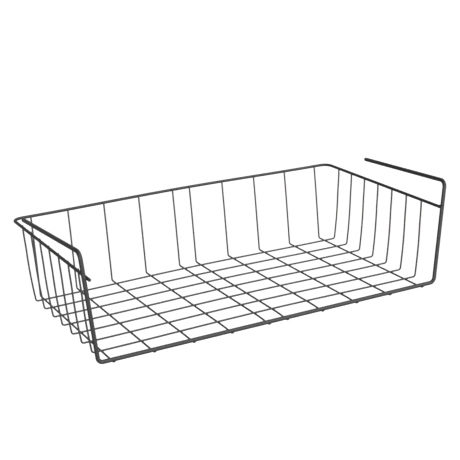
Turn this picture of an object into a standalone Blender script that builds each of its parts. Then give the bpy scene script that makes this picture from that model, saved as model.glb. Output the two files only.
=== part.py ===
"""Under shelf basket: an open basket of coated steel wires, welded where they cross.

One heavy wire makes the front bar, the two posts and the two arms that slide over a shelf.
A lighter wire makes the rim, which lies against the inner faces of the posts. Ten thin wires
run along the floor and up the back, and seven more cross over them and climb both sides.
Metres, +Z up, +X to the right as seen from the open front, +Y to the back. The model's origin
is the centre of its footprint, on the surface that the basket stands on when it is taken down.
"""

import bpy
from math import ceil, cos, hypot, pi, radians, sin, tan
from mathutils import Matrix, Vector

# Wires and how they meet
FRAME_WIRE = 0.0050        # diameter of the bar, posts and arms
RIM_WIRE = 0.0038          # diameter of the rim
MESH_WIRE = 0.0022         # diameter of the floor and cross wires
WELD_GAP = 0.0003          # space left between two wires that touch

# Hanger frame, from the axis of the front bar
SHOULDER_WIDTH = 0.4926    # between the posts' axes, at the arms
FOOT_TUCK = 0.0131         # the posts' feet, inside the arms' corners
SHOULDER_LEAN = 0.0022     # the arms' corners, in front of the bar's axis
SHELF_SPACE = 0.0325       # from the rim's axis up to the arms' corners
ARM_REACH = 0.1820         # from an arm's corner to its tip
ARM_DROOP = radians(3.1)   # the arms fall towards their tips, and grip the shelf
ARM_SPLAY = radians(1.0)   # the arms spread towards their tips
BAR_BEND = 0.0065          # bend between the bar and a post, on the wire's axis
ARM_BEND = 0.0075          # bend between a post and an arm

# Rim
RIM_HEIGHT = 0.1015        # from the bar's axis up to the rim's axis
RIM_DEPTH = 0.2610         # from the bar's axis back to the rim's back run
RIM_OVERHANG = 0.0075      # the rim's ends, in front of the bar's axis
RIM_BEND = 0.0120

# Floor wires, which run from the bar to the back and up to the rim
FLOOR_WIRE_COUNT = 10
BACK_TUCK = 0.0136         # the floor's back corner, inside the rim's back run
EDGE_INSET = 0.0130        # the outer floor wires, inside the cross wires' corners
MIDDLE_SPACE = 0.0256      # between the two middle floor wires, half the pitch of the others
FLOOR_NOSE = 0.0004        # the wires' ends, in front of the bar's axis
FLOOR_BEND = 0.0025

# Cross wires, which run over the floor wires and up both sides to the rim
CROSS_WIRE_COUNT = 7
CORNER_INSET = 0.0054      # the cross wires' corners, inside the posts' feet
FIRST_CROSS = 0.0330       # from the bar's axis to the first cross wire
LAST_CROSS = 0.0212        # from the last cross wire to the floor's back corner
CROSS_BEND = 0.0030
SIDE_BOW = 0.0020          # the sides bulge outward at half height

# The whole mesh
FLOOR_CROWN = 0.0022       # the middle of the mesh is raised
END_SINK = 0.0014          # the mesh wires' ends, below the top of the rim

# Smoothness
BEND_STEP = radians(15)    # turn between two points of a bend
DOME_TURN = radians(72)    # how far round its end a wire's dome goes
DOME_STEPS = 3
RUN_STEPS = 5              # pieces of a run that is bowed or eased
FRAME_SIDES = 12
MESH_SIDES = 8

FRAME_RADIUS = FRAME_WIRE / 2
RIM_RADIUS = RIM_WIRE / 2
MESH_RADIUS = MESH_WIRE / 2

SHOULDER_HALF = SHOULDER_WIDTH / 2
BAR_HALF = SHOULDER_HALF - FOOT_TUCK
POST_HEIGHT = RIM_HEIGHT + SHELF_SPACE
END_HEIGHT = RIM_HEIGHT + RIM_RADIUS - END_SINK

# Heights of the mesh: the floor wires pass under the bar, and the cross wires lie on them
FLOOR_Z = -(FRAME_RADIUS + WELD_GAP + MESH_RADIUS)
CROSS_Z = FLOOR_Z + MESH_WIRE + WELD_GAP

CROSS_HALF = BAR_HALF - CORNER_INSET
FLOOR_DEPTH = RIM_DEPTH - BACK_TUCK


def side_step(reach, run, rise):
    """Level distance between the axes of a level wire and one that leans across it by run in rise."""
    return reach * hypot(run, rise) / rise


def seat_inside(outer, foot, reach, rise):
    """Where a wire that starts at foot ends up, once it leans on the inner face of an outer wire."""
    return outer - side_step(reach, outer - reach - foot, rise)


POST_AT_RIM = BAR_HALF + FOOT_TUCK * RIM_HEIGHT / POST_HEIGHT
RIM_HALF = POST_AT_RIM - side_step(FRAME_RADIUS + RIM_RADIUS + WELD_GAP, FOOT_TUCK, POST_HEIGHT)
ON_RIM = RIM_RADIUS + MESH_RADIUS + WELD_GAP


def even_places(first, last, count):
    """Places spread evenly from the first to the last."""
    return [first + (last - first) * i / (count - 1) for i in range(count)]


HALF_PLACES = even_places(MIDDLE_SPACE / 2, CROSS_HALF - EDGE_INSET, FLOOR_WIRE_COUNT // 2)
FLOOR_PLACES = [-x for x in reversed(HALF_PLACES)] + HALF_PLACES
CROSS_PLACES = even_places(FIRST_CROSS, FLOOR_DEPTH - LAST_CROSS, CROSS_WIRE_COUNT)


def crown(x, y):
    """Rise of the mesh: full in its middle, none at its sides, and eased in behind the bar."""
    across = (1 + cos(pi * min(abs(x) / CROSS_HALF, 1))) / 2
    along = 1 - (1 - min(max(y, 0) / FIRST_CROSS, 1)) ** 2
    return FLOOR_CROWN * across * along


def bow(z, rise):
    """Outward bulge of a side at a height above its foot."""
    share = min(max(z / rise, 0), 1)
    return SIDE_BOW * share * (1 - share) / 0.25


def bend(before, corner, after, radius):
    """Points of the arc that rounds a corner of a wire's axis."""
    arrive = (corner - before).normalized()
    leave = (after - corner).normalized()
    turn = arrive.angle(leave)
    centre = corner + (leave - arrive).normalized() * radius / cos(turn / 2)
    spoke = corner - arrive * radius * tan(turn / 2) - centre
    axis = arrive.cross(leave)
    steps = ceil(turn / BEND_STEP)
    return [centre + Matrix.Rotation(turn * i / steps, 3, axis) @ spoke for i in range(steps + 1)]


def run(start, end, steps=RUN_STEPS):
    """Points along a straight run, after its start and up to its end."""
    return [start.lerp(end, (i + 1) / steps) for i in range(steps)]


def mirrored(half):
    """The whole of a wire from its right half, from the left end to the right end."""
    return [Vector((-p.x, p.y, p.z)) for p in reversed(half)] + half


def dome(tip, inner, radius):
    """Rings that close a wire's end in a dome, as points and shares of its radius, tip last."""
    outward = (tip - inner).normalized()
    base = tip - outward * radius * sin(DOME_TURN)
    turns = [DOME_TURN * i / DOME_STEPS for i in range(DOME_STEPS + 1)]
    return [(base + outward * radius * sin(a), cos(a)) for a in turns]


def coating(name, colour):
    """Dark satin coating on steel wire."""
    material = bpy.data.materials.new(name)
    material.use_nodes = True
    surface = material.node_tree.nodes["Principled BSDF"]
    surface.inputs["Base Color"].default_value = (*colour, 1)
    surface.inputs["Roughness"].default_value = 0.42
    surface.inputs["Metallic"].default_value = 0.15
    return material


def wire(name, points, diameter, sides, material, location=(0, 0, 0), turned=0):
    """A round wire along its axis points, domed at both ends, in the basket's collection."""
    radius = diameter / 2
    first = dome(points[0], points[1], radius)
    last = dome(points[-1], points[-2], radius)
    stations = list(reversed(first)) + [(p, 1) for p in points[1:-1]] + last
    curve = bpy.data.curves.new(name, 'CURVE')
    curve.dimensions = '3D'
    curve.bevel_depth = radius
    curve.bevel_resolution = (sides - 4) // 2
    curve.use_fill_caps = True
    spline = curve.splines.new('POLY')
    spline.points.add(len(stations) - 1)
    for point, (place, share) in zip(spline.points, stations):
        point.co = (*place, 1)
        point.radius = share
        point.tilt = turned
    curve.materials.append(material)
    return placed(name, curve, location)


def placed(name, data, location):
    """An object in the basket's collection, carried by the basket's datum."""
    piece = bpy.data.objects.new(name, data)
    piece.location = location
    piece.parent = datum
    basket.objects.link(piece)
    return piece


def hanger_frame(material):
    """The heavy wire: bar, posts and arms, with a flat of each arm turned down to the shelf."""
    middle = Vector((0, 0, 0))
    foot = Vector((BAR_HALF, 0, 0))
    shoulder = Vector((SHOULDER_HALF, -SHOULDER_LEAN, POST_HEIGHT))
    arm = Vector((sin(ARM_SPLAY), cos(ARM_DROOP), -sin(ARM_DROOP))).normalized()
    tip = shoulder + arm * ARM_REACH
    half = bend(middle, foot, shoulder, BAR_BEND) + bend(foot, shoulder, tip, ARM_BEND) + [tip]
    return wire("hanger_frame", mirrored(half), FRAME_WIRE, FRAME_SIDES, material,
                turned=pi / FRAME_SIDES)


def rim(material):
    """The lighter wire round the sides and the back, raised with the mesh along its back run."""
    corner = Vector((RIM_HALF, RIM_DEPTH, 0))
    end = Vector((RIM_HALF, -RIM_OVERHANG, 0))
    back = [Vector((x, RIM_DEPTH, 0)) for x in HALF_PLACES]
    half = back + bend(back[-1], corner, end, RIM_BEND) + [end]
    for point in half:
        point.z += crown(point.x, point.y)
    return wire("rim", mirrored(half), RIM_WIRE, FRAME_SIDES, material, location=(0, 0, RIM_HEIGHT))


def floor_wire(index, x, material):
    """A thin wire from under the bar to the back, and up the inner side of the rim."""
    rise = RIM_HEIGHT - FLOOR_Z
    seat = seat_inside(RIM_DEPTH, FLOOR_DEPTH, ON_RIM, rise)
    top_rise = END_HEIGHT - FLOOR_Z
    nose = Vector((0, -FLOOR_NOSE, 0))
    corner = Vector((0, FLOOR_DEPTH, 0))
    top = Vector((0, FLOOR_DEPTH + (seat - FLOOR_DEPTH) * top_rise / rise, top_rise))
    eased = run(nose, Vector((0, FIRST_CROSS, 0)))
    points = [nose] + eased + bend(nose, corner, top, FLOOR_BEND) + [top]
    for point in points:
        point.z += crown(x, point.y)
    return wire(f"floor_wire_{index:02d}", points, MESH_WIRE, MESH_SIDES, material,
                location=(x, 0, FLOOR_Z))


def cross_wire(index, y, material):
    """A thin wire over the floor wires, with a point on each, and up both sides to the rim."""
    rise = RIM_HEIGHT - CROSS_Z
    seat = seat_inside(RIM_HALF, CROSS_HALF, ON_RIM, rise)
    top_rise = END_HEIGHT - CROSS_Z
    corner = Vector((CROSS_HALF, 0, 0))
    top = Vector((CROSS_HALF + (seat - CROSS_HALF) * top_rise / rise, 0, top_rise))
    over_floor = [Vector((x, 0, 0)) for x in HALF_PLACES]
    turn = bend(over_floor[-1], corner, top, CROSS_BEND)
    half = over_floor + turn + run(turn[-1], top)
    for point in half:
        point.z += crown(point.x, y)
        point.x += bow(point.z, rise)
    return wire(f"cross_wire_{index}", mirrored(half), MESH_WIRE, MESH_SIDES, material,
                location=(0, y, CROSS_Z))


for old in list(bpy.data.objects):
    bpy.data.objects.remove(old, do_unlink=True)

basket = bpy.data.collections.new("under_shelf_basket")
bpy.context.scene.collection.children.link(basket)

# The datum carries the bar's axis: half the footprint forward of the origin, and clear of the
# floor wires, which the basket stands on
datum = bpy.data.objects.new("basket_datum", None)
datum.location = (0, -(RIM_DEPTH + RIM_RADIUS - RIM_OVERHANG) / 2, MESH_RADIUS - FLOOR_Z)
basket.objects.link(datum)

hanger_frame(coating("frame_coating", (0.030, 0.031, 0.032)))
rim(coating("rim_coating", (0.032, 0.033, 0.034)))

floor_coating = coating("floor_wire_coating", (0.045, 0.046, 0.047))
for number, place in enumerate(FLOOR_PLACES, 1):
    floor_wire(number, place, floor_coating)

cross_coating = coating("cross_wire_coating", (0.045, 0.046, 0.047))
for number, place in enumerate(CROSS_PLACES, 1):
    cross_wire(number, place, cross_coating)

bpy.context.view_layer.update()
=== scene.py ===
# %% [markdown]
# # Under shelf basket
# The basket hangs under a shelf by two arms that slide over the board. It is nineteen steel wires,
# bent cold, welded wherever two of them cross, and coated all at once in a dark satin grey. The
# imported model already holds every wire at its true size, with flat facets. In this lesson each
# wire is drawn out again as a smooth round one, the welds between them are filled, and the
# coating, the light and the camera are set.

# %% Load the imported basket
from math import cos, hypot, pi, radians, sin, tan

import bmesh
import bpy
from mathutils import Matrix, Vector


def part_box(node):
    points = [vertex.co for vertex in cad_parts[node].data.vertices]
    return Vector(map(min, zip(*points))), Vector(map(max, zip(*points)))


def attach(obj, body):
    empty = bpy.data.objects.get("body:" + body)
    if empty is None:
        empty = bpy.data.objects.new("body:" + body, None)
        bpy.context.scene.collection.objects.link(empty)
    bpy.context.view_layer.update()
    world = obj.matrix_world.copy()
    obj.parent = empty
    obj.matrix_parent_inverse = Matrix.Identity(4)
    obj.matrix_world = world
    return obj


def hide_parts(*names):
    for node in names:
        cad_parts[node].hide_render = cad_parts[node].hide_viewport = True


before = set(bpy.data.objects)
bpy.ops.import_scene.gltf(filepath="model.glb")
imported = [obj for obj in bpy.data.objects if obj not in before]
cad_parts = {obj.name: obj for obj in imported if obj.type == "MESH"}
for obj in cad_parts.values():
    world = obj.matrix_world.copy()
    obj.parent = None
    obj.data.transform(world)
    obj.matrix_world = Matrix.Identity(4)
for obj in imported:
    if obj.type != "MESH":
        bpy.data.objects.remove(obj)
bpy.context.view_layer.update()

# %% [markdown]
# ## Read the basket's places
# A wire's place is read from the box of its node, so that everything drawn here sits where the
# model says. Only what a box can't tell is written down: the thickness of the wires, which is
# measured over the coating, their bends, their slopes and their gentle bulges.

# %% Read where each wire lies
def node_middle(name):
    """The middle of a node's box."""
    low, high = (Vector(corner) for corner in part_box(name))
    return (low + high) / 2

FLOOR_NODES = sorted(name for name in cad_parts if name.startswith("floor_wire"))
CROSS_NODES = sorted(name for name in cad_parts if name.startswith("cross_wire"))
FLOOR_X = [node_middle(name).x for name in FLOOR_NODES]
CROSS_Y = [node_middle(name).y for name in CROSS_NODES]
print("floor wires:", len(FLOOR_X), "cross wires:", len(CROSS_Y))

# %% [markdown]
# ## Stack the wires
# The basket is a stack. The floor wires lie lowest, the bar and the cross wires lie on them, and
# the model keeps a small gap wherever two wires meet, in place of the weld.

# %% Work out the heights and reaches
FRAME_RADIUS = 0.0025
RIM_RADIUS = 0.0019
MESH_RADIUS = 0.0011
WELD_GAP = 0.0003
RIM_OVERHANG = 0.0075

rim_low, rim_high = (Vector(corner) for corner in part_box("rim"))
RIM_FRONT_Y = rim_low.y
RIM_BACK_Y = rim_high.y - RIM_RADIUS
RIM_HALF = rim_high.x - RIM_RADIUS
RIM_Z = rim_low.z + RIM_RADIUS
BAR_Y = RIM_FRONT_Y + RIM_OVERHANG
FLOOR_Z = MESH_RADIUS
BAR_Z = FLOOR_Z + MESH_RADIUS + WELD_GAP + FRAME_RADIUS
CROSS_Z = FLOOR_Z + 2 * MESH_RADIUS + WELD_GAP
print("bar at y", round(BAR_Y, 5), "z", round(BAR_Z, 5))
print("rim at z", round(RIM_Z, 5), "half width", round(RIM_HALF, 5))

# %% [markdown]
# ## A wire is fed and bent
# On the bench, a wire comes straight off the coil into a bending machine. The machine feeds it
# forward, turns it round a pin, and feeds it on. Extrude and Spin do the same to a disc: Extrude
# feeds the disc along a run, and Spin turns it round the pin of a bend. That keeps the section
# round all the way, which a curve with sharp corners would not.

# %% Helpers that start and feed a wire
def deselect_everything():
    """Leaves edit mode and clears the selection, as an operator acts on all that is selected."""
    if bpy.context.object and bpy.context.object.mode == 'EDIT':
        bpy.ops.object.mode_set(mode='OBJECT')
    bpy.ops.object.select_all(action='DESELECT')

def make_active(piece):
    """Selects one piece alone."""
    deselect_everything()
    piece.select_set(True)
    bpy.context.view_layer.objects.active = piece

def start_wire(name, place, heading, radius, sides):
    """The disc that a wire starts as, square to its heading, open in edit mode."""
    deselect_everything()
    bpy.ops.mesh.primitive_circle_add(vertices=sides, radius=radius, fill_type='NGON',
                                      location=place,
                                      rotation=heading.to_track_quat('Z', 'Y').to_euler())
    bpy.ops.object.transform_apply(location=True, rotation=True, scale=True)
    wire = bpy.context.object
    wire.name = wire.data.name = name
    bpy.ops.object.mode_set(mode='EDIT')
    bpy.ops.mesh.select_all(action='SELECT')
    return wire

def feed(way, steps):
    """Pushes the wire's end face along, in equal steps."""
    for _ in range(steps):
        bpy.ops.mesh.extrude_region_move(TRANSFORM_OT_translate={"value": way / steps})

# %% Helper that draws a whole wire
BEND_RINGS_PER_TURN = 44
FEWEST_BEND_RINGS = 3

def draw_wire(name, corners, pins, steps, radius, sides):
    """Feeds a wire from corner to corner and bends it round a pin at each corner between."""
    place = corners[0]
    wire = start_wire(name, place, (corners[1] - place).normalized(), radius, sides)
    for before, corner, after, pin, count in zip(corners, corners[1:], corners[2:], pins, steps):
        arrive = (corner - before).normalized()
        leave = (after - corner).normalized()
        turn = arrive.angle(leave)
        reach = pin * tan(turn / 2)
        feed(corner - arrive * reach - place, count)
        centre = corner + (leave - arrive).normalized() * pin / cos(turn / 2)
        rings = max(FEWEST_BEND_RINGS, round(turn / (2 * pi) * BEND_RINGS_PER_TURN))
        bpy.ops.mesh.spin(steps=rings, dupli=False, angle=turn, center=centre,
                          axis=leave.cross(arrive))
        place = corner + leave * reach
    feed(corners[-1] - place, steps[-1])
    return wire

# %% [markdown]
# ## Ends and halves
# A cut wire's end is sharp until the coating flows over it and rounds it off. A bevel on the rim
# of the end face gives that dome. Most of these wires are the same on the left as on the right,
# so only the right half is drawn, from the middle outward, and a Mirror modifier makes the rest.

# %% Helpers that round, open and finish a wire
DOME_RINGS = 5
DOME_SHARE = 0.92

def select_end(wire, place):
    """Selects only the end face nearest to a place. End faces have the most corners of all."""
    bpy.ops.mesh.select_all(action='DESELECT')
    mesh = bmesh.from_edit_mesh(wire.data)
    most = max(len(face.verts) for face in mesh.faces)
    ends = [face for face in mesh.faces if len(face.verts) == most]
    nearest = min(ends, key=lambda face: (face.calc_center_median() - place).length)
    nearest.select_set(True)
    bmesh.update_edit_mesh(wire.data)

def round_end(wire, place, radius):
    """Bevels an end to a dome."""
    select_end(wire, place)
    bpy.ops.mesh.region_to_loop()
    bpy.ops.mesh.bevel(offset=radius * DOME_SHARE, segments=DOME_RINGS, affect='EDGES')

def open_end(wire, place):
    """Takes an end face away, where the mirrored half joins on."""
    select_end(wire, place)
    bpy.ops.mesh.delete(type='FACE')

def finish_wire():
    """Turns the faces outward, leaves edit mode and shades the wire smooth."""
    bpy.ops.mesh.select_all(action='SELECT')
    bpy.ops.mesh.normals_make_consistent(inside=False)
    bpy.ops.object.mode_set(mode='OBJECT')
    bpy.ops.object.shade_smooth()

# %% Helpers that apply a modifier and mirror a half
MIRROR_MERGE = 0.000005

def apply_modifier(piece, kind, **settings):
    """Adds a modifier, sets it and applies it."""
    make_active(piece)
    bpy.ops.object.modifier_add(type=kind)
    modifier = piece.modifiers[-1]
    for setting, value in settings.items():
        setattr(modifier, setting, value)
    bpy.ops.object.modifier_apply(modifier=modifier.name)

def mirrored_wire(name, corners, pins, steps, radius, sides, shape=None):
    """A wire drawn from its middle to its right end, shaped, and mirrored in X."""
    wire = draw_wire(name, corners, pins, steps, radius, sides)
    round_end(wire, corners[-1], radius)
    open_end(wire, corners[0])
    finish_wire()
    if shape:
        shape(wire)
    apply_modifier(wire, 'MIRROR', merge_threshold=MIRROR_MERGE)
    return wire

# %% [markdown]
# ## The crown of the mesh
# The long thin wires don't lie quite flat: the middle of the floor stands about two millimetres
# above its edges, and the back rises with it. One Displace modifier lifts every mesh wire by the
# same rule, through a vertex group whose weights say how much of the lift each point takes. The
# same helper bows the sides, and presses the ends of the wires into what they are welded to.

# %% Helpers that push a piece's points by their shares
def push(piece, group_name, share_at, direction, strength):
    """Moves a piece's points along an axis, each by its own share of the strength."""
    group = piece.vertex_groups.new(name=group_name)
    for vertex in piece.data.vertices:
        group.add([vertex.index], share_at(vertex.co), 'REPLACE')
    apply_modifier(piece, 'DISPLACE', direction=direction, strength=strength, mid_level=0,
                   vertex_group=group.name)
    piece.vertex_groups.remove(piece.vertex_groups[group_name])

def held(share):
    """A share kept between 0 and 1."""
    return min(max(share, 0), 1)

def eased(share):
    """A share that starts and ends gently between 0 and 1."""
    share = held(share)
    return share * share * (3 - 2 * share)

# %% The crown's rule
FLOOR_CROWN = 0.0022
CROSS_HALF = 0.2278
CROWN_RUN = CROSS_Y[0] - BAR_Y

def crown_share(place):
    """Share of the crown at a place: full in the middle, none at the sides and on the bar."""
    across = (1 + cos(pi * min(abs(place.x) / CROSS_HALF, 1))) / 2
    along = 1 - (1 - held((place.y - BAR_Y) / CROWN_RUN)) ** 2
    return across * along

def crown(piece):
    """Lifts a piece with the crown."""
    push(piece, "crown", crown_share, 'Z', FLOOR_CROWN)

print("crown", FLOOR_CROWN * 1000, "mm, reached", round(CROWN_RUN * 1000, 1), "mm behind the bar")

# %% [markdown]
# ## The hanger
# One heavy wire makes the front bar, both posts and both arms. The posts lean out a little, the
# arms fall and spread towards their tips, and each corner is bent round a pin of its own size.

# %% Draw the hanger
BAR_HALF = 0.2332
SHOULDER_HALF = 0.2463
SHOULDER_LEAN = 0.0022
POST_HEIGHT = 0.1340
ARM_REACH = 0.182
ARM_DROOP = radians(3.1)
ARM_SPLAY = radians(1.0)
BAR_PIN = 0.0065
ARM_PIN = 0.0075
HEAVY_SIDES = 32

bar_middle = Vector((0, BAR_Y, BAR_Z))
foot = Vector((BAR_HALF, BAR_Y, BAR_Z))
shoulder = Vector((SHOULDER_HALF, BAR_Y - SHOULDER_LEAN, BAR_Z + POST_HEIGHT))
arm = Vector((sin(ARM_SPLAY), cos(ARM_DROOP), -sin(ARM_DROOP))).normalized()
hanger = mirrored_wire("hanger", corners=[bar_middle, foot, shoulder, shoulder + arm * ARM_REACH],
                       pins=[BAR_PIN, ARM_PIN], steps=[4, 4, 4], radius=FRAME_RADIUS,
                       sides=HEAVY_SIDES)
print("hanger:", len(hanger.data.polygons), "faces")

# %% [markdown]
# ## The rim
# A lighter wire runs from the left post round the back to the right post, on their inner faces,
# and its two ends stand a little in front of them. Its back run rises with the mesh, so its runs
# are fed in more steps than the hanger's, to give the crown points to lift.

# %% Draw the rim
RIM_PIN = 0.0120

rim_corners = [Vector((0, RIM_BACK_Y, RIM_Z)), Vector((RIM_HALF, RIM_BACK_Y, RIM_Z)),
               Vector((RIM_HALF, RIM_FRONT_Y, RIM_Z))]
rim_hoop = mirrored_wire("rim_hoop", corners=rim_corners, pins=[RIM_PIN], steps=[16, 8],
                         radius=RIM_RADIUS, sides=HEAVY_SIDES, shape=crown)
print("rim:", len(rim_hoop.data.polygons), "faces")

# %% [markdown]
# ## How a mesh wire ends
# The mesh wires lean on the inner side of the rim and end just below its top. The welder presses
# hot wire into hot wire, so each end sinks a little into the bar and into the rim. The sink eases
# in along the wire, because the wire bends a little to get there.

# %% Helpers for the ends of the mesh wires
TOP_BELOW_RIM = 0.0014
END_Z = RIM_Z + RIM_RADIUS - TOP_BELOW_RIM
ON_RIM = RIM_RADIUS + MESH_RADIUS + WELD_GAP
BAR_SINK_RUN = 0.012
RIM_SINK_RUN = 0.035

def leaning_top(foot_place, outer, foot_z):
    """Where a wire that leans on the inner side of the rim ends, measured outward."""
    rise = RIM_Z - foot_z
    lean = outer - ON_RIM * hypot(outer - ON_RIM - foot_place, rise) / rise - foot_place
    return foot_place + lean * (END_Z - foot_z) / rise

def bar_sink_share(place):
    """Share of the sink into the bar: full under the bar, none a finger's width behind it."""
    return eased(1 - (place.y - BAR_Y) / BAR_SINK_RUN)

def rim_sink_share(place):
    """Share of the sink into the rim: full at the top end, eased in over the last stretch."""
    return eased(1 - (END_Z - place.z) / RIM_SINK_RUN)

# %% [markdown]
# ## The floor wires
# Ten thin wires start just under the bar, run back along the floor, turn up sharply and end on the
# rim's back run. One wire is drawn at the middle of the basket, and copied to each place. A copy
# takes its own share of the crown, so each has its own mesh.

# %% Draw one floor wire
FLOOR_NOSE = 0.0004
FLOOR_DEPTH = 0.2474
FLOOR_PIN = 0.0025
BAR_SINK = 0.0007
BACK_SINK = 0.0006
THIN_SIDES = 20

back_y = BAR_Y + FLOOR_DEPTH
floor_corners = [Vector((0, BAR_Y - FLOOR_NOSE, FLOOR_Z)), Vector((0, back_y, FLOOR_Z)),
                 Vector((0, leaning_top(back_y, RIM_BACK_Y, FLOOR_Z), END_Z))]
floor_pattern = draw_wire("floor_pattern", corners=floor_corners, pins=[FLOOR_PIN],
                          steps=[40, 6], radius=MESH_RADIUS, sides=THIN_SIDES)
for end in (floor_corners[0], floor_corners[-1]):
    round_end(floor_pattern, end, MESH_RADIUS)
finish_wire()
push(floor_pattern, "bar_sink", bar_sink_share, 'Z', BAR_SINK)
push(floor_pattern, "rim_sink", rim_sink_share, 'Y', BACK_SINK)
print("floor wire:", len(floor_pattern.data.polygons), "faces")

# %% Copy it to its ten places
def copy_piece(source, name, place):
    """A copy with its own mesh, moved to a place that is then written into the mesh."""
    make_active(source)
    bpy.ops.object.duplicate(linked=False)
    copy = bpy.context.object
    copy.name = copy.data.name = name
    copy.location = place
    bpy.ops.object.transform_apply(location=True, rotation=False, scale=False)
    return copy

floor_rods = [copy_piece(floor_pattern, f"floor_rod_{number:02d}", (x, 0, 0))
              for number, x in enumerate(FLOOR_X, 1)]
for rod in floor_rods:
    crown(rod)
bpy.data.objects.remove(floor_pattern)
print("floor rods:", ", ".join(rod.name for rod in floor_rods))

# %% [markdown]
# ## The cross wires
# Seven more thin wires lie across the floor wires. They turn up at both sides, bulge outward a
# little, and end sunk into the inner side of the rim, so each of them is a wide U.

# %% Draw one cross wire
CROSS_PIN = 0.003
SIDE_BOW = 0.0020
SIDE_SINK = 0.0014

def bow_share(place):
    """Share of the outward bulge at a height: full half way up to the rim."""
    share = held((place.z - CROSS_Z) / (RIM_Z - CROSS_Z))
    return 4 * share * (1 - share) if place.x > CROSS_HALF / 2 else 0

def bow(wire):
    """Bulges the side of a cross wire and sinks its end into the rim."""
    push(wire, "bow", bow_share, 'X', SIDE_BOW)
    push(wire, "rim_sink", rim_sink_share, 'X', SIDE_SINK)

cross_corners = [Vector((0, 0, CROSS_Z)), Vector((CROSS_HALF, 0, CROSS_Z)),
                 Vector((leaning_top(CROSS_HALF, RIM_HALF, CROSS_Z), 0, END_Z))]
cross_pattern = mirrored_wire("cross_pattern", corners=cross_corners, pins=[CROSS_PIN],
                              steps=[18, 12], radius=MESH_RADIUS, sides=THIN_SIDES, shape=bow)
print("cross wire:", len(cross_pattern.data.polygons), "faces")

# %% Copy it to its seven places
cross_rods = [copy_piece(cross_pattern, f"cross_rod_{number}", (0, y, 0))
              for number, y in enumerate(CROSS_Y, 1)]
for rod in cross_rods:
    crown(rod)
bpy.data.objects.remove(cross_pattern)
print("cross rods:", ", ".join(rod.name for rod in cross_rods))

# %% [markdown]
# ## The welds
# Where two wires meet, the weld leaves a small ridge of steel, and the coating rounds it off and
# fills the corners. A small pillow between the two wires stands for both. It starts as a flat
# cube turned by 45 degrees, so that its four points run along the wires and its sides fill the
# corners between them.

# %% Helper that models a pillow
PILLOW_LEVELS = 2

def pillow_pattern(half_length, half_height):
    """A pillow of the coating that fills a crossing, lying flat, its points along X and Y."""
    deselect_everything()
    bpy.ops.mesh.primitive_cube_add(size=2, rotation=(0, 0, radians(45)))
    pillow = bpy.context.object
    pillow.name = "pillow_pattern"
    pillow.scale = (half_length, half_length, half_height)
    bpy.ops.object.transform_apply(location=True, rotation=True, scale=True)
    apply_modifier(pillow, 'SUBSURF', levels=PILLOW_LEVELS, render_levels=PILLOW_LEVELS)
    bpy.ops.object.shade_smooth()
    return pillow

# %% Helpers that copy it to every crossing
def turned_to(normal, place):
    """A place, and the turn that lays a flat thing square to a normal."""
    return Matrix.Translation(place) @ normal.to_track_quat('Z', 'Y').to_matrix().to_4x4()

def fill_crossings(name, pattern, crossings):
    """Copies the pillow to each crossing, and joins the copies to one piece."""
    pillows = []
    for place, normal in crossings:
        pillow = copy_piece(pattern, "pillow", (0, 0, 0))
        pillow.data.transform(turned_to(normal, place))
        pillows.append(pillow)
    deselect_everything()
    for pillow in pillows:
        pillow.select_set(True)
    welds = pillows[0]
    bpy.context.view_layer.objects.active = welds
    bpy.ops.object.join()
    welds.name = welds.data.name = name
    bpy.data.objects.remove(pattern)
    print(name, "fills", len(pillows), "crossings")
    return welds

# %% Fill the crossings of the floor
UP, ACROSS, BACK = Vector((0, 0, 1)), Vector((1, 0, 0)), Vector((0, 1, 0))
HALF_GAP = WELD_GAP / 2

def crowned(x, y, z):
    """A place on the mesh, lifted with the crown."""
    place = Vector((x, y, z))
    return place + UP * FLOOR_CROWN * crown_share(place)

floor_meets = [(crowned(x, y, FLOOR_Z + MESH_RADIUS + HALF_GAP), UP)
               for x in FLOOR_X for y in CROSS_Y]
floor_welds = fill_crossings("floor_welds", pillow_pattern(half_length=0.0013, half_height=0.0006),
                             floor_meets)

# %% Fill the meetings under the bar, at the rim and at the posts
bar_meets = [(Vector((x, BAR_Y, BAR_Z - FRAME_RADIUS - HALF_GAP)), UP) for x in FLOOR_X]
bar_welds = fill_crossings("bar_welds", pillow_pattern(half_length=0.0026, half_height=0.0009),
                           bar_meets)

rim_meets = [(crowned(x, RIM_BACK_Y - RIM_RADIUS - HALF_GAP, RIM_Z), BACK) for x in FLOOR_X]
rim_meets += [(Vector((side * (RIM_HALF - RIM_RADIUS - HALF_GAP), y, RIM_Z)), ACROSS)
              for side in (-1, 1) for y in CROSS_Y]
rim_welds = fill_crossings("rim_welds", pillow_pattern(half_length=0.0018, half_height=0.0009),
                           rim_meets)

post_meets = [(Vector((side * (RIM_HALF + RIM_RADIUS + HALF_GAP), BAR_Y, RIM_Z)), ACROSS)
              for side in (-1, 1)]
post_welds = fill_crossings("post_welds", pillow_pattern(half_length=0.0022, half_height=0.0009),
                            post_meets)

# %% [markdown]
# ## The coating
# The wires are coated in a dark satin grey. Up close such a coating has a fine orange-peel skin,
# and over two centimetres or so its grey and its gloss drift a little. Both are noise, at two very
# different scales. They go into one node group, because every wire is coated in the same bath, and
# each material then sets its own grey. The difference between those greys is painted light: the
# one coating is made lighter on the thin floor and cross wires than on the hanger and the rim, to
# stand in for the light that the thin wires show.

# %% Helper that lays a noise on a piece
def noise_on_object(nodes, links, scale, detail):
    """A noise texture that is fixed to the object."""
    place = nodes.new("ShaderNodeTexCoord")
    texture = nodes.new("ShaderNodeTexNoise")
    texture.inputs["Scale"].default_value = scale
    texture.inputs["Detail"].default_value = detail
    links.new(place.outputs["Object"], texture.inputs["Vector"])
    return texture

# %% Build the coating's node group
DRIFT_SCALE, DRIFT_DETAIL = 45, 3
SKIN_SCALE, SKIN_DETAIL = 1400, 2
# A Mix node has a set of sockets for each kind of value. These are the numbers of a colour's.
MIX_A, MIX_B, MIX_RESULT = 6, 7, 2

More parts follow.
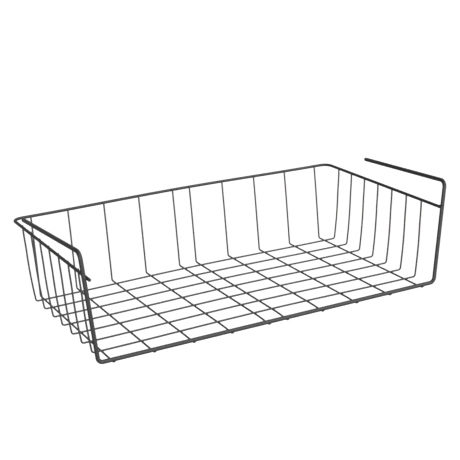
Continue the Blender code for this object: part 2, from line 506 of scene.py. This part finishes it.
def build_satin_group():
    """A group that puts out the coating's drifting grey and roughness, and its skin's height."""
    group = bpy.data.node_groups.new("satin_coating", 'ShaderNodeTree')
    for way, name, kind in (("INPUT", "Grey", "Color"), ("INPUT", "Light Grey", "Color"),
                            ("INPUT", "Roughness", "Float"), ("INPUT", "Roughness Drift", "Float"),
                            ("OUTPUT", "Colour", "Color"), ("OUTPUT", "Roughness", "Float"),
                            ("OUTPUT", "Skin Height", "Float")):
        group.interface.new_socket(name, in_out=way, socket_type="NodeSocket" + kind)
    nodes, links = group.nodes, group.links
    given = nodes.new("NodeGroupInput")
    result = nodes.new("NodeGroupOutput")
    drift = noise_on_object(nodes, links, DRIFT_SCALE, DRIFT_DETAIL)
    skin = noise_on_object(nodes, links, SKIN_SCALE, SKIN_DETAIL)

    grey = nodes.new("ShaderNodeMix")
    grey.data_type = 'RGBA'
    links.new(drift.outputs["Fac"], grey.inputs["Factor"])
    links.new(given.outputs["Grey"], grey.inputs[MIX_A])
    links.new(given.outputs["Light Grey"], grey.inputs[MIX_B])
    links.new(grey.outputs[MIX_RESULT], result.inputs["Colour"])

    gloss = nodes.new("ShaderNodeMath")
    gloss.operation = 'MULTIPLY_ADD'
    links.new(drift.outputs["Fac"], gloss.inputs[0])
    links.new(given.outputs["Roughness Drift"], gloss.inputs[1])
    links.new(given.outputs["Roughness"], gloss.inputs[2])
    links.new(gloss.outputs["Value"], result.inputs["Roughness"])
    links.new(skin.outputs["Fac"], result.inputs["Skin Height"])
    return group

satin_group = build_satin_group()
print("coating group:", len(satin_group.nodes), "nodes")

# %% [markdown]
# ## One material for each kind of wire
# The shader itself stays in the material. It takes the grey, the roughness and the skin from the
# group, and each material gives the group a darker and a lighter grey and a roughness of its own.

# %% Make the materials
SKIN_DEPTH = 0.00005
ROUGHNESS_DRIFT = 0.1

def grey_colour(level):
    """An opaque grey."""
    return (level, level, level, 1)

def satin_material(name, grey, light_grey, roughness):
    """One of the basket's coatings."""
    material = bpy.data.materials.new(name)
    material.use_nodes = True
    nodes, links = material.node_tree.nodes, material.node_tree.links
    shader = nodes["Principled BSDF"]
    coating = nodes.new("ShaderNodeGroup")
    coating.node_tree = satin_group
    coating.inputs["Grey"].default_value = grey_colour(grey)
    coating.inputs["Light Grey"].default_value = grey_colour(light_grey)
    coating.inputs["Roughness"].default_value = roughness
    coating.inputs["Roughness Drift"].default_value = ROUGHNESS_DRIFT
    bump = nodes.new("ShaderNodeBump")
    bump.inputs["Distance"].default_value = SKIN_DEPTH
    links.new(coating.outputs["Colour"], shader.inputs["Base Color"])
    links.new(coating.outputs["Roughness"], shader.inputs["Roughness"])
    links.new(coating.outputs["Skin Height"], bump.inputs["Height"])
    links.new(bump.outputs["Normal"], shader.inputs["Normal"])
    return material

# The floor and cross wires get a lighter grey than the hanger and the rim, though all share one
# coating: that difference is painted light.
frame_satin = satin_material("frame_satin", grey=0.025, light_grey=0.035, roughness=0.36)
rim_satin = satin_material("rim_satin", grey=0.023, light_grey=0.032, roughness=0.38)
floor_satin = satin_material("floor_satin", grey=0.042, light_grey=0.056, roughness=0.40)
cross_satin = satin_material("cross_satin", grey=0.036, light_grey=0.048, roughness=0.40)
print("materials:", frame_satin.name, rim_satin.name, floor_satin.name, cross_satin.name)

# %% [markdown]
# ## Coat the pieces
# Each piece gets its material and rides on the basket's one rigid body.

# %% Hand the materials out
def coat(piece, material):
    """Gives a piece its material and its body."""
    piece.data.materials.clear()
    piece.data.materials.append(material)
    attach(piece, "root")

coat(hanger, frame_satin)
coat(rim_hoop, rim_satin)
for piece in floor_rods + [floor_welds, bar_welds]:
    coat(piece, floor_satin)
for piece in cross_rods:
    coat(piece, cross_satin)
for piece in (rim_welds, post_welds):
    coat(piece, rim_satin)
for material in (frame_satin, rim_satin, floor_satin, cross_satin):
    print("pieces coated in", material.name + ":", material.users)

# %% [markdown]
# ## Each drawn wire stands for its node
# The faceted wires of the model stay for the physics, and these smooth ones show in their place.

# %% Replace the nodes
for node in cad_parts.values():
    node.data.materials.clear()
    node.data.materials.append(floor_satin)
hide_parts("hanger_frame")
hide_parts("rim")
for rod, node in zip(floor_rods, FLOOR_NODES):
    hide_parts(node)
for rod, node in zip(cross_rods, CROSS_NODES):
    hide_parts(node)
print("drawn wires stand for all", len(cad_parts), "nodes")

# %% [markdown]
# ## Floor
# The basket is shown as it hangs, in a white studio. The floor is a pale sheet well below it that
# glows a little, as a lit table does, so it is just white and thin wires throw no lines of shadow.
# Were it brighter than white, it would eat into the edges of the wires. From below it is clear, so
# that the underside of the basket can be looked at through it.

# %% Lay the floor
FLOOR_DROP = 0.35
FLOOR_SIZE = 60
FLOOR_PAINT = 0.9
FLOOR_ROUGHNESS = 0.9
FLOOR_GLOW = 0.42

deselect_everything()
bpy.ops.mesh.primitive_plane_add(size=FLOOR_SIZE, location=(0, 0, -FLOOR_DROP))
studio_floor = bpy.context.object
studio_floor.name = "studio_floor"
studio_floor.visible_glossy = False
studio_floor.visible_diffuse = False
studio_floor.visible_shadow = False
print("floor", FLOOR_DROP, "m below the basket")

# %% Paint it
floor_paint = bpy.data.materials.new("floor_paint")
floor_paint.use_nodes = True
floor_nodes, floor_links = floor_paint.node_tree.nodes, floor_paint.node_tree.links
floor_shader = floor_nodes["Principled BSDF"]
floor_shader.inputs["Base Color"].default_value = grey_colour(FLOOR_PAINT)
floor_shader.inputs["Roughness"].default_value = FLOOR_ROUGHNESS
floor_shader.inputs["Emission Color"].default_value = grey_colour(1)
floor_shader.inputs["Emission Strength"].default_value = FLOOR_GLOW
side_seen = floor_nodes.new("ShaderNodeNewGeometry")
clear = floor_nodes.new("ShaderNodeBsdfTransparent")
one_sided = floor_nodes.new("ShaderNodeMixShader")
floor_links.new(side_seen.outputs["Backfacing"], one_sided.inputs["Fac"])
floor_links.new(floor_shader.outputs["BSDF"], one_sided.inputs[1])
floor_links.new(clear.outputs["BSDF"], one_sided.inputs[2])
floor_links.new(one_sided.outputs["Shader"], floor_nodes["Material Output"].inputs["Surface"])
studio_floor.data.materials.append(floor_paint)
print("floor paint glows", FLOOR_GLOW)

# %% [markdown]
# ## Light
# The bar is as bright below as above, so the light doesn't come from overhead: it comes level from
# the front, out of three soft boxes side by side. A fourth stands high on the right and brightens
# the right post, and two weak ones stand behind, for a thin light edge on the wires.

# %% Hang the lights
SOFT_WIDTH = radians(50)
# For each box, its turn and its height in degrees, and its strength.
SOFT_BOXES = {"front_left": (-45, 0, 1.56), "front": (0, 0, 1.04), "front_right": (45, 0, 1.04),
              "high_right": (45, 45, 1.57), "high_behind": (135, 45, 0.47),
              "low_behind": (180, 0, 0.16)}

def soft_box(name, turn, height, strength):
    """A wide soft light, turned from the front round to the right, and raised above level."""
    lamp = bpy.data.lights.new(name, 'SUN')
    lamp.energy = strength
    lamp.angle = SOFT_WIDTH
    light = bpy.data.objects.new(name, lamp)
    light.rotation_euler = (radians(90 - height), 0, radians(turn))
    bpy.context.scene.collection.objects.link(light)

for name, (turn, height, strength) in SOFT_BOXES.items():
    soft_box(name, turn, height, strength)
print("soft boxes:", ", ".join(SOFT_BOXES))

# %% [markdown]
# ## The room
# The camera sees a white room, but the wires are lit by a dim one. A Light Path node tells the two
# apart, so the background stays clean white while the wires stay dark.

# %% Set the room
AROUND = 0.15

world = bpy.data.worlds.new("studio")
bpy.context.scene.world = world
world.use_nodes = True
world_nodes, world_links = world.node_tree.nodes, world.node_tree.links
seen = world_nodes.new("ShaderNodeLightPath")
shade = world_nodes.new("ShaderNodeMix")
shade.data_type = 'RGBA'
shade.inputs[MIX_A].default_value = grey_colour(AROUND)
shade.inputs[MIX_B].default_value = grey_colour(1)
world_links.new(seen.outputs["Is Camera Ray"], shade.inputs["Factor"])
world_links.new(shade.outputs[MIX_RESULT], world_nodes["Background"].inputs["Color"])
bpy.context.scene.view_settings.view_transform = 'Standard'
print("the room lights the wires with", AROUND, "of white")

# %% [markdown]
# ## Camera
# The camera stands to the left of the front and looks down a little. Its place, its turn and its
# lens were fitted together from the lines of the wires in the photograph.

# %% Set the camera
CAMERA_PLACE = Vector((-0.6446, -1.2451, 0.5347))
CAMERA_YAW = -0.48103
CAMERA_PITCH = -0.31093
CAMERA_ROLL = -0.03702
FOCAL_LENGTH = 90.11
SENSOR_WIDTH = 36

forward = Vector((-sin(CAMERA_YAW) * cos(CAMERA_PITCH), cos(CAMERA_YAW) * cos(CAMERA_PITCH),
                  sin(CAMERA_PITCH)))
level = Vector((cos(CAMERA_YAW), sin(CAMERA_YAW), 0))
upright = level.cross(forward)
right = cos(CAMERA_ROLL) * level + sin(CAMERA_ROLL) * upright
above = -sin(CAMERA_ROLL) * level + cos(CAMERA_ROLL) * upright
facing = Matrix((right, above, -forward)).transposed().to_4x4()

lens = bpy.data.cameras.new("camera")
lens.lens = FOCAL_LENGTH
lens.sensor_width = SENSOR_WIDTH
camera = bpy.data.objects.new("camera", lens)
camera.matrix_world = Matrix.Translation(CAMERA_PLACE) @ facing
bpy.context.scene.collection.objects.link(camera)
bpy.context.scene.camera = camera
print("camera", round(CAMERA_PLACE.length, 3), "m from the basket, lens", FOCAL_LENGTH, "mm")
